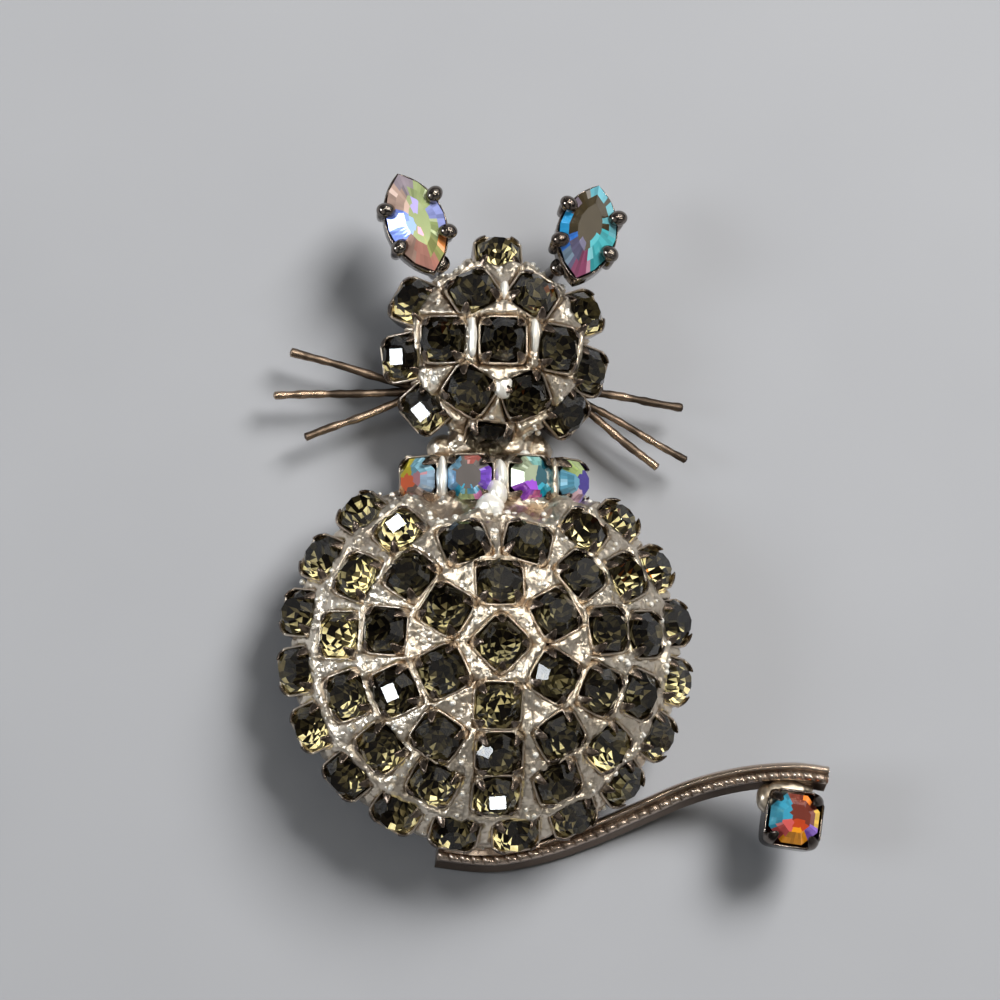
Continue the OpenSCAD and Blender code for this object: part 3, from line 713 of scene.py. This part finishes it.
# Seats round the collar's arch: out = (sin a, 0, cos a)
def archSeats():
    a = np.radians(collar["angles"])
    out = np.column_stack([np.sin(a), 0 * a, np.cos(a)])
    down = np.column_stack([np.cos(a), 0 * a, -np.sin(a)])
    at = collar["middle"] + out * collar["tableR"]
    return {"at": at, "axes": np.stack([down, np.tile([0, 1, 0], (len(a), 1)), out], 1)}


# One seat turned about Z, then tipped about its own X: columns of Rz Rx are its axes
def turnedSeat(at, turn, tip):
    t, k = math.radians(turn), math.radians(tip)
    down = (math.cos(t), math.sin(t), 0.0)
    side = (-math.sin(t) * math.cos(k), math.cos(t) * math.cos(k), math.sin(k))
    return {"at": np.array([at], float), "axes": np.array([[down, side, np.cross(down, side)]])}


# Pointed outline from two arcs of radius R = (l^2 + w^2) / 4w that meet at its tips on Y
def lensOutline(wide, long, segments):
    r = (long * long + wide * wide) / (4 * wide)
    half = math.asin(long / (2 * r))
    a = -half + np.arange(segments) * 2 * half / segments
    arc = np.column_stack([r * np.cos(a) - (r - wide / 2), r * np.sin(a)])
    return np.vstack([arc, -arc])


# Rainbow stone: rings of its outline from the table's middle to its back, in cells that each
# take the colour of the spot with the least distance / size. A crown's cells vary by a quarter,
# a few get a painted flash, and the back is dark
def rainbowPart(seats, outline, levels, spots, seed):
    pick = np.random.default_rng(seed)
    half = np.abs(outline).max(0)
    part = loftPart(np.stack([flatRing(outline * share, z) for share, z in levels]), smooth=False)
    middles = np.vstack([part["points"][group].mean(1) for group in part["faces"]])
    cells, height = middles[:, :2] / half, middles[:, 2:]
    spots = np.array(spots) / 100
    nearest = (np.linalg.norm(cells[:, None] - spots[:, :2], axis=2) / spots[:, 2]).argmin(1)
    crown, c = height < -0.01, rainbowCells
    paint = spots[nearest, 3:] * (1 + crown * pick.uniform(-c["vary"], c["vary"], (len(cells), 1)))
    # painted glints: a few crown cells are made brighter and paler
    flash = crown & (pick.random((len(cells), 1)) > c["flashOver"])
    paint = np.where(flash, paint * c["gain"] + c["lift"], paint)
    paint *= np.where(height < levels[-3][1], c["back"], 1)
    part["points"] = carryTo(seats, part["points"][None])
    part["paint"] = np.column_stack([np.clip(paint, 0, c["brightest"]), np.ones(len(paint))])
    return part


# A rainbow stone as a piece
def rainbowPiece(name, seat, outline, levels, node, seed):
    part = rainbowPart(seat, outline, levels, rainbow[node], seed)
    makePiece(name, [part], [emissiveRainbowFacets], [node])


# Levels of a stone: shares of its outline and heights, from its table's middle to its back
def stoneLevels(table, crown, girdle, back):
    table, low = np.array(table), -crown - girdle
    levels = [(share * table, 0) for share in (0.02, 0.3, 0.65, 1)]
    return levels + [((1 + table) / 2, -crown / 2), (1, -crown), (1, low), (0.5, low - back / 2),
                     (0.04, low - back)]


octagon = cutEdges(circle(np.radians(22.5 + 45 * np.arange(8))), 5)


# A round rainbow stone of radius r in its seat: an octagon at the smoke stone's levels times r
def rainbowRound(name, seat, r, node, seed):
    levels = stoneLevels(stoneCut["table"], stoneCut["crown"] * r, stoneCut["girdle"] * r,
                         rainbowCells["deep"] * r)
    rainbowPiece(name, seat, octagon * r, levels, node, seed)


collarSeats = archSeats()
for k in range(4):
    seat = {key: value[k:k + 1] for key, value in collarSeats.items()}
    rainbowRound(f"collarStone{k + 1}", seat, collar["stoneR"], f"collar_stone_{k + 1}", 20 + k)
boxSeat = turnedSeat(tailBox["at"], tailBox["turn"], 0)
rainbowRound("tailStone", boxSeat, tailBox["stoneR"], "tail_stone", 31)

# Ears: place from the head's centre on the ground, turn and drop of the tip
ears = {"left": ((-6.15, 8.8, 7.25), 20, -4), "right": ((6.4, 8.45, 7.85), -15, -13.5)}
earMetal = {
    "prongs": ((-2, -1.5), (-2, 1.5), (2, -1.5), (2, 1.5)), "prongR": 0.4, "footR": 0.65, "footAt": 7.3,
    "tabZ": (1.72, 2.52), "tabStart": 5.22, "tabR": 0.4, "footTop": 1.9, "waist": 0.12, "columns": 20,
    "skin": ((-2.45, 0.0), (-2.3, 0.12), (-1.15, 0.16), (-1.0, 0.13), (-0.96, 0.07), (-1.04, 0.02),
             (-1.5, -0.25)),  # heights and growth
    # A prong's path: shares of its x and y, height, and share of its radius
    "prong": ((1, 1, -2.2, 1), (1.03, 1, -1.6, 0.95), (1.05, 1, -1.1, 0.9), (1.03, 0.99, -0.75, 0.85),
              (0.98, 0.98, -0.45, 0.8)),
    "ball": ((0.708, 0.57, 0.57), 0.012, 5, 18, 28), "ballAt": (0.93, 0.97, -0.3), "ballTurn": 0.6,
}


# An ear's setting: pointed cup of outlines grown with height, four prongs that end in balls
# drawn out towards the stone's middle, and its foot with the tab under the head
def earParts(place, seat):
    m = earMetal
    wide, long = earCut["wide"], earCut["long"]
    skin = np.stack([flatRing(lensOutline(wide + 2 * grow, long + 2 * grow, m["columns"]), z)
                     for z, grow in m["skin"]])
    parts = [loftPart(carryTo(seat, skin.reshape(1, -1, 3)).reshape(skin.shape))]
    prong = np.array(m["prong"])
    for x, y in m["prongs"]:
        path = prong[:, :3] * (x, y, 1)
        parts.append(barPart(carryTo(seat, path[None]), m["prongR"] * prong[:, 3]))
        ball = lumpPart((0, 0, 0), *m["ball"])
        turned = ball["points"] @ spin(math.atan2(-y * m["ballTurn"], -x))
        ball["points"] = carryTo(seat, (turned + np.array(m["ballAt"]) * (x, y, 1))[None])
        parts.append(ball)
    angle = math.atan2(place[1], place[0])
    way = np.array([math.cos(angle), math.sin(angle)])
    base = headMiddle[:2]
    z = np.linspace(m["tabZ"][0], place[2] - m["footTop"], 8)
    path = np.column_stack([np.tile(base + way * m["footAt"], (8, 1)), z])
    parts.append(barPart(path, m["footR"] * (1 - m["waist"] * np.sin(np.linspace(0, math.pi, 8)))))
    x = np.linspace(m["tabStart"], m["footAt"], 6)
    path = np.column_stack([base + way * x[:, None], np.full(6, sum(m["tabZ"]) / 2)])
    parts.append(barPart(path, np.full(6, m["tabR"])))
    return parts


earOutline = cutEdges(lensOutline(earCut["wide"], earCut["long"], 6), 4)
earLevels = stoneLevels(*(earCut[key] for key in ("table", "crown", "girdle", "back")))
for k, (side, (place, turn, tip)) in enumerate(ears.items()):
    seat = turnedSeat(headMiddle + place, turn, tip)
    rainbowPiece(f"{side}EarStone", seat, earOutline, earLevels, f"{side}_ear_stone", 40 + k)
    makePiece(f"{side}EarSetting", earParts(place, seat), [prongMetal],
              [f"{side}_ear_setting"])

# Whiskers: root and tips from the head's centre
whiskers = {
    "z": 2.18, "r": 0.3, "spot": (1.15, 1.1, 0.34), "rough": 0.06, "bend": 0.06, "columns": 14,
    "length": (0.985, 44), "tip": 0.014, "tipSteps": (0.75, 0.5, 0.3, 0.12, 0), "tipR": 0.12,
    "left": ((-4.75, -2.95), [(-14.9, -0.25), (-16.1, -3.5), (-13.8, -6.55)]),
    "right": ((4.6, -2.4), [(14.15, -3.85), (14.4, -7.75), (12.25, -8.35)])}


# Three wires that bend a little: offset = 0.06 sin(k t + c) sin(pi t), radius 1 + 0.06 waves,
# tips rounded by sqrt(1 - t)
def wireParts(root, tips, seed):
    pick = np.random.default_rng(seed)
    w = whiskers
    parts = [lumpPart(headMiddle + (*root, w["z"]), w["spot"], 0.02, seed)]
    t = np.append(np.linspace(0, *w["length"]), 1 - w["tip"] * np.array(w["tipSteps"]))
    for tip in tips:
        start, end = np.array([*root, w["z"]]), np.array([*tip, w["z"]])
        path = headMiddle + start + (end - start) * t[:, None]
        across = np.array([-(end - start)[1], (end - start)[0], 0]) / np.linalg.norm(end - start)
        bend = np.sin(t * pick.uniform(5, 9) + pick.uniform(0, 6)) * np.sin(t * math.pi)
        path += across * (w["bend"] * bend)[:, None]
        taper = np.minimum(1, np.sqrt(np.clip((1.0003 - t) / w["tip"], 0, 1)) + w["tipR"])
        r = w["r"] * (1 + w["rough"] * waves(path, 2.5, 0.8, 6, seed)) * taper
        parts.append(barPart(path, r, w["columns"]))
    return parts


for k, side in enumerate(("left", "right")):
    makePiece(f"{side}Whiskers", wireParts(*whiskers[side], 60 + k), [wireMetal],
              [f"{side}_whiskers"])

tail = {
    "points": [(-3.2, -14.45, 0.9), (0.8, -14.8, 0.9), (4.6, -14.1, 0.9), (8.1, -12.9, 1),
               (11.7, -11.35, 1.5), (15.2, -9.85, 2.4), (18.7, -8.95, 3.5), (22.2, -8.65, 4.5),
               (24.8, -8.95, 5)],
    "halfW": 0.88, "halfH": 0.9, "samples": 90,
    # The wire's outline before and after its beads, in shares of its half width and half height
    "band": ([0.7, -0.7, -0.9, -1, -1, -0.95, -0.72, -0.5],
             [-1, -1, -0.96, -0.82, -0.62, -0.5, -0.1, 0.28]),
    "flank": ([0.33, 0.42, 0.58, 0.76, 0.9, 1, 1, 0.92], [0.5, 0.72, 0.84, 0.8, 0.62, 0.3, -0.7, -0.94]),
    "bead": (-0.08, 0.39), "columns": 11, "seatZ": 0.5, "low": 0.08, "rise": 0.42, "round": 0.9,
    "pitch": 0.84, "slant": 0.35, "groove": (0.25, 0.45, 0.8), "darkSide": -0.48,
    "seat": ((12.7, 14.5), (0.85, 1.72), (-101, -73)),  # radii, heights and angles of what it rests on
    "lumps": (((22.1, -9.75, 4.35), (1.75, 0.75, 0.7), 0.03, 71, 2),
              ((20.55, -10.4, 4.2), (0.8, 1.1, 0.8), 0.03, 72, 2)),
}


# Tail's path, between b and c: (2b + (c - a) t + (2a - 5b + 4c - d) t^2 + (3b - a - 3c + d) t^3) / 2
def tailPath():
    p = np.array(tail["points"])
    k = np.arange(len(p) - 1)
    a, b, c, d = (p[np.clip(k + shift, 0, len(p) - 1)][:, None] for shift in (-1, 0, 1, 2))
    t = (np.arange(tail["samples"]) / tail["samples"])[None, :, None]
    bend = (2 * a - 5 * b + 4 * c - d) * t ** 2 + (3 * b - a - 3 * c + d) * t ** 3
    curve = np.vstack([(b + ((c - a) * t + bend) / 2).reshape(-1, 3), p[-1:]])
    curve[:, 2] = np.maximum(curve[:, 2], tail["halfH"])
    return curve + bodyMiddle


# Tail's wire: a smooth band, a row of beads and a slanting dark flank. Bead height over its
# seat = 0.08 + 0.42 sqrt(1 - (off / half)^2) * sqrt(1 - 0.9 (2 frac(s / pitch) - 1)^2)
def tailPart():
    path = tailPath()
    step = np.gradient(path, axis=0)
    run = np.hypot(step[:, 0], step[:, 1])
    across = np.column_stack([-step[:, 1] / run, step[:, 0] / run, 0 * run])
    along = np.concatenate([[0], np.cumsum(np.linalg.norm(np.diff(path, axis=0), axis=1))])
    middle, half = tail["bead"]
    beads = np.linspace(middle - half, middle + half, tail["columns"])
    on = np.zeros(len(tail["band"][0]))
    t = np.concatenate([tail["band"][0], beads, tail["flank"][0]])
    flat = np.concatenate([tail["band"][1], 0 * beads + tail["seatZ"], tail["flank"][1]])
    on = np.concatenate([on, np.sqrt(np.clip(1 - ((beads - middle) / half) ** 2, 0, 1)), on])
    phase = (along[:, None] + tail["slant"] * (t - middle)) / tail["pitch"]
    swell = np.sqrt(1 - tail["round"] * (2 * (phase - np.floor(phase)) - 1) ** 2)
    high = flat + on * (tail["low"] + tail["rise"] * swell)
    rise = np.stack([0 * high, 0 * high, high * tail["halfH"]], -1)
    points = path[:, None] + across[:, None] * (t * tail["halfW"])[:, None] + rise
    start, end, dark = tail["groove"]
    recess = np.where(on > 0, 1 - swell, 0) + dark * ((t > start) & (t < end)) + (t < tail["darkSide"])
    return loftPart(points, marks={"recess": np.append(np.clip(recess, 0, 1), [0.5, 0.5])})


(r0, r1), (z0, z1), (a0, a1) = tail["seat"]
a = np.radians(np.linspace(a0, a1, 16))
seatRings = np.stack([flatRing(circle(a) * r, z) for r, z in ((r0, z0), (r1, z0), (r1, z1), (r0, z1))], 1)
boxDepth = np.full((1, len(cupOutline(1)[0])), tailBox["depth"])
tailParts = [tailPart(), loftPart(bodyMiddle + seatRings, smooth=False),
             cupPart(boxSeat, tailBox["half"], tailBox["stoneR"], boxDepth, 1)]
tailParts += lumpParts(bodyMiddle, tail["lumps"])
makePiece("tailWire", tailParts, [tailMetal, prongMetal, tailSolder], ["tail"])

arch = {"rows": 120, "across": 26, "fill": 0.3, "wave": 0.1, "waves": (2.8, 0.7, 14, 9), "cutR": 14.2,
        "cutUnder": 0.4, "edge": 9, "dark": 0.8, "clearAt": 0.5, "inside": 0.5}


# The collar's arch, cut by the body's plate where y = sqrt(14.2^2 - x^2 - z^2) from its centre.
# Its solder = fill + waves, and sinks at both edges as the root of the way to them
def archPart():
    c, centre = collar, domeCentre(bodyDome)
    _, middle, low = c["middle"]
    end = math.acos((c["baseZ"] - low) / c["plateR"])
    a = np.linspace(-end, end, arch["rows"])
    way = np.column_stack([np.sin(a), 0 * a, np.cos(a)])
    axis = c["middle"] * (1, 0, 1)
    under = axis + way * (c["plateR"] - arch["cutUnder"])
    room = arch["cutR"] ** 2 - (under[:, 0] - centre[0]) ** 2 - (under[:, 2] - centre[2]) ** 2
    low = np.maximum(middle - c["half"], centre[1] + np.sqrt(np.maximum(room, 0)))
    t = np.linspace(0, 1, arch["across"])
    y = low[:, None] + (middle + c["half"] - low)[:, None] * t
    along = axis + y[..., None] * [0, 1, 0]
    outside = along + way[:, None] * c["plateR"]
    lift = arch["fill"] + arch["wave"] * waves(outside.reshape(-1, 3), *arch["waves"]).reshape(y.shape)
    lift *= np.clip(np.minimum(t, 1 - t) * arch["edge"], 0, 1) ** 0.5
    outside += way[:, None] * lift[..., None]
    inside = (along + way[:, None] * (c["plateR"] - c["wall"]))[:, ::-5]
    recess = np.clip(arch["dark"] - lift / arch["clearAt"], 0, 1)
    recess = np.concatenate([recess, np.full(inside.shape[:2], arch["inside"])], 1).ravel()
    recess = np.concatenate([recess, [arch["inside"]] * 2])
    return loftPart(np.concatenate([outside, inside], 1), marks={"recess": recess})


# The neck's bar and tongue, and its solder, whose last two lumps are small drops
neckBlocks = (((-6.2, 12.9, 0.9), (6.2, 14.6, 1.72)), ((-3, 14, 1.3), (3, 17.6, 2.5)))
neckLumps = (
    ((-1.6, 15.3, 2.6), (1.9, 1.5, 1.7), 0.05, 81, 0), ((1.3, 15.3, 2.7), (2.0, 1.5, 1.8), 0.05, 82, 0),
    ((3.2, 15.0, 2.4), (1.3, 1.1, 1.5), 0.05, 83, 0), ((-3.5, 15.0, 2.3), (1.2, 1.1, 1.3), 0.05, 84, 0),
    ((0.15, 12.5, 6.3), (0.62, 1.3, 1.3), 0.04, 85, 2), ((-0.2, 11.2, 6.8), (0.82, 1.1, 1.2), 0.05, 86, 2),
    ((-0.7, 10.2, 7.5), (1.05, 1.0, 0.9), 0.05, 87, 2), ((-0.3, 9.1, 8.2), (0.6, 1.1, 0.75), 0.05, 88, 2),
    ((-4.0, 12.45, 5.85), (0.42, 1.6, 0.75), 0.05, 89, 2),
    ((4.15, 12.45, 5.75), (0.4, 1.6, 0.7), 0.05, 70, 0), ((-3.4, 10.6, 5.9), (1.1, 0.6, 0.7), 0.06, 73, 0),
    ((2.6, 10.7, 6.3), (1.2, 0.6, 0.7), 0.06, 74, 0),
    ((2.1, 14.3, 5.3), (0.42, 0.4, 0.4), 0.02, 75, 2, 12, 18),
    ((3.5, 14.0, 4.6), (0.35, 0.35, 0.35), 0.02, 76, 2, 12, 18),
)
neckFoot = np.array([collar["middle"][0], bodyMiddle[1], 0])
collarFeet = footDepths(collarSeats, collar["half"], bodyDome, collar["sink"], collar["cupHeight"], False)
collarParts = [archPart(), cupPart(collarSeats, collar["half"], collar["stoneR"], collarFeet, 1)]
collarParts += [blockPart(neckFoot + low, neckFoot + high) for low, high in neckBlocks]
collarParts += lumpParts(neckFoot, neckLumps)
makePiece("collarBand", collarParts, plateMetals, ["collar"])

# The hidden pin back keeps its shape, in its own worn metal
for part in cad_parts["pin_back"].material_slots:
    part.material = pinMetal

# Floor: half its side is in metres, and its paper is two close tones mixed by noise
floorLook = {"half": 3.0, "scale": 60.0, "detail": 2.0, "rough": 0.6,
             "tones": ((0.295, 0.3, 0.316, 1), (0.32, 0.325, 0.341, 1))}
corners = [(x, y, 0) for x, y in ((-1, -1), (1, -1), (1, 1), (-1, 1))]
mesh = bpy.data.meshes.new("floor")
mesh.from_pydata((np.array(corners) * floorLook["half"]).tolist(), [], [(0, 1, 2, 3)])
floor = addObject("floor", mesh)
paper, tree, shader = newMaterial("palePaper", {"Roughness": floorLook["rough"]})
where = addNode(tree, "ShaderNodeTexCoord").outputs["Object"]
grain = addNoise(tree, where, floorLook["scale"], floorLook["detail"])
feed(tree, shader, {"Base Color": mixColour(tree, grain, *floorLook["tones"])})
floor.data.materials.append(paper)

# Camera: the point it looks at, its lean from straight above, and its distance, in millimetres
view = {"target": (-3.725, 1.46, 5.0), "lean": (7.5, 7.0), "far": 340.0, "lens": 168.9, "sensor": 36,
        "near": 0.01}
viewWay = np.append(-np.tan(np.radians(view["lean"])), 1.0)
viewWay /= np.linalg.norm(viewWay)
viewPlace = (np.array(view["target"]) + viewWay * view["far"]) * mm

# Lamps: direction, distance and size in metres, watts, colour, and D, G or T where diffuse, glossy
# or transmitted light sees them. The key lights the paper; metal and glass mirror the others
lamps = {
    "key": ((0.68, 0.8, 1.0), 0.75, (0.36, 0.3), 11.0, (1, 0.99, 0.97), "D"),
    "card": ((0.55, 0.62, 1.0), 0.8, (0.75, 0.75), 1.2, (1, 0.98, 0.95), "G"),
    "cardLow": ((-0.55, -0.6, 0.8), 0.8, (0.5, 0.5), 0.22, (1, 0.93, 0.84), "G"),
    "window": ((-0.85, 0.0, 0.53), 0.8, (0.26, 0.2), 2.2, (0.9, 0.95, 1), "DGT"),
}
sparks = {"count": 12, "turn": (30, 137.5), "tilt": (8, 3.9), "middle": (0.3, 0.34, 0.35),
          "lamp": (0.75, (0.034, 0.026), 0.26, (1, 0.96, 0.88), "GT")}
for k in range(sparks["count"]):
    turn, tilt = (math.radians(first + step * k) for first, step in (sparks["turn"], sparks["tilt"]))
    way = sphereWays(np.array([tilt]), turn)[0] + sparks["middle"]
    lamps[f"spark{k}"] = (way, *sparks["lamp"])

# A pane's lamp stands where a flat table mirrors the viewer: way = 2 (n.v) n - v, n the table's
# direction and v that to the viewer
panes = {"far": 0.5, "lamp": ((0.0029, 0.00232), 0.00062, (0.9, 0.94, 1), "G")}
for dome in (bodyDome, headDome):
    for k in dome["panes"]:
        at, n = dome["seats"]["at"][k] * mm, dome["seats"]["axes"][k, 2]
        v = viewPlace - at
        v /= np.linalg.norm(v)
        way = at + (2 * (n @ v) * n - v) * panes["far"]
        lamps[f"pane_{dome['name']}{k}"] = (way, np.linalg.norm(way), *panes["lamp"])
for name, (way, far, size, watts, colour, shows) in lamps.items():
    light = bpy.data.lights.new(name, "AREA")
    light.shape = "RECTANGLE"
    light.size, light.size_y = size
    light.energy, light.color = watts, colour
    holder, way = addObject(name, light), Vector(way).normalized()
    holder.location = way * far
    holder.rotation_euler = way.to_track_quat("Z", "Y").to_euler()
    holder.visible_camera = False
    holder.visible_diffuse, holder.visible_glossy, holder.visible_transmission = (
        letter in shows for letter in "DGT")
print("placed", len(lamps), "lamps")

# Room light: soft patches of light and dark, seen only in what reflects them, and dimmer on what
# is dull: strength = level * (1 - 0.45 diffuse), and 0.75 where the camera sees it
roomLook = {"scale": 1.7, "detail": 1.5, "noise": (0.42, 0.62), "level": (0.02, 0.3), "dull": -0.45,
            "seen": 0.75, "colour": (0.97, 0.96, 0.94, 1)}
world = bpy.data.worlds.new("room")
bpy.context.scene.world = world
world.use_nodes = True
room = world.node_tree
where = addNode(room, "ShaderNodeTexCoord").outputs["Generated"]
level = addNode(room, "ShaderNodeMapRange", {
    "Value": addNoise(room, where, roomLook["scale"], roomLook["detail"]),
    "From Min": roomLook["noise"][0], "From Max": roomLook["noise"][1],
    "To Min": roomLook["level"][0], "To Max": roomLook["level"][1]})
path = addNode(room, "ShaderNodeLightPath")
dimmed = addMath(room, "MULTIPLY_ADD", path.outputs["Is Diffuse Ray"], roomLook["dull"], 1.0)
strength = addNode(room, "ShaderNodeMix", {
    "Factor": path.outputs["Is Camera Ray"], "B": roomLook["seen"],
    "A": addMath(room, "MULTIPLY", level.outputs["Result"], dimmed)})
feed(room, room.nodes["Background"], {"Color": roomLook["colour"], "Strength": strength.outputs["Result"]})

bpy.context.scene.view_settings.view_transform = "Standard"

lens = bpy.data.cameras.new("camera")
lens.lens, lens.sensor_width, lens.clip_start = view["lens"], view["sensor"], view["near"]
camera = addObject("camera", lens)
bpy.context.scene.camera = camera
right = np.cross([0, 1.0, 0], viewWay)
right /= np.linalg.norm(right)
upward = np.cross(viewWay, right)
rows = np.column_stack([right, upward, viewWay, viewPlace]).tolist()
camera.matrix_world = Matrix(rows + [[0, 0, 0, 1]])
